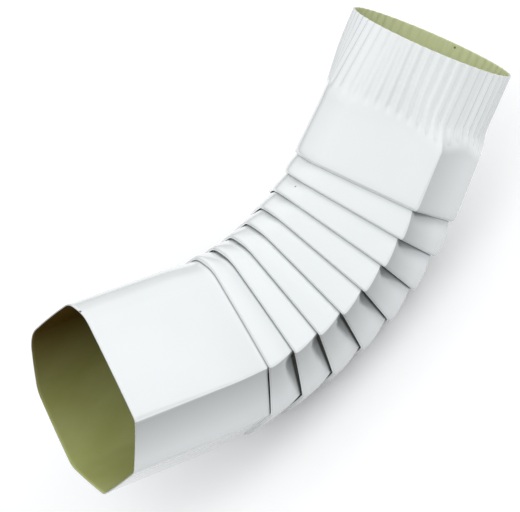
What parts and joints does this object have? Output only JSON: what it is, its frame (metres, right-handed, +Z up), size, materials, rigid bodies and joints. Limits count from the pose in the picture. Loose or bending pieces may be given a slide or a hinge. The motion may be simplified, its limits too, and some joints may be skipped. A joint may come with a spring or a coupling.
{
  "type": "downspout elbow",
  "caption": "One-piece pleated downspout elbow of white painted sheet steel, eight-sided, with a plain end that takes the pipe above and a crimped end that slips into the pipe below.",
  "frame": {"origin": "on the ground, under the middle of the overall box", "axes": "+Z up as the elbow rests on its heel, +X from the plain end towards the crimped end, the bend lies in the XZ plane and Y is the shortest way across"},
  "size_m": [0.3078, 0.1026, 0.1516],
  "materials": {
    "painted_sheet": "gloss white outside, olive green wash coat inside"
  },
  "bodies": {
    "root": {"elbow_shell": "painted_sheet"}
  },
  "joints": []
}
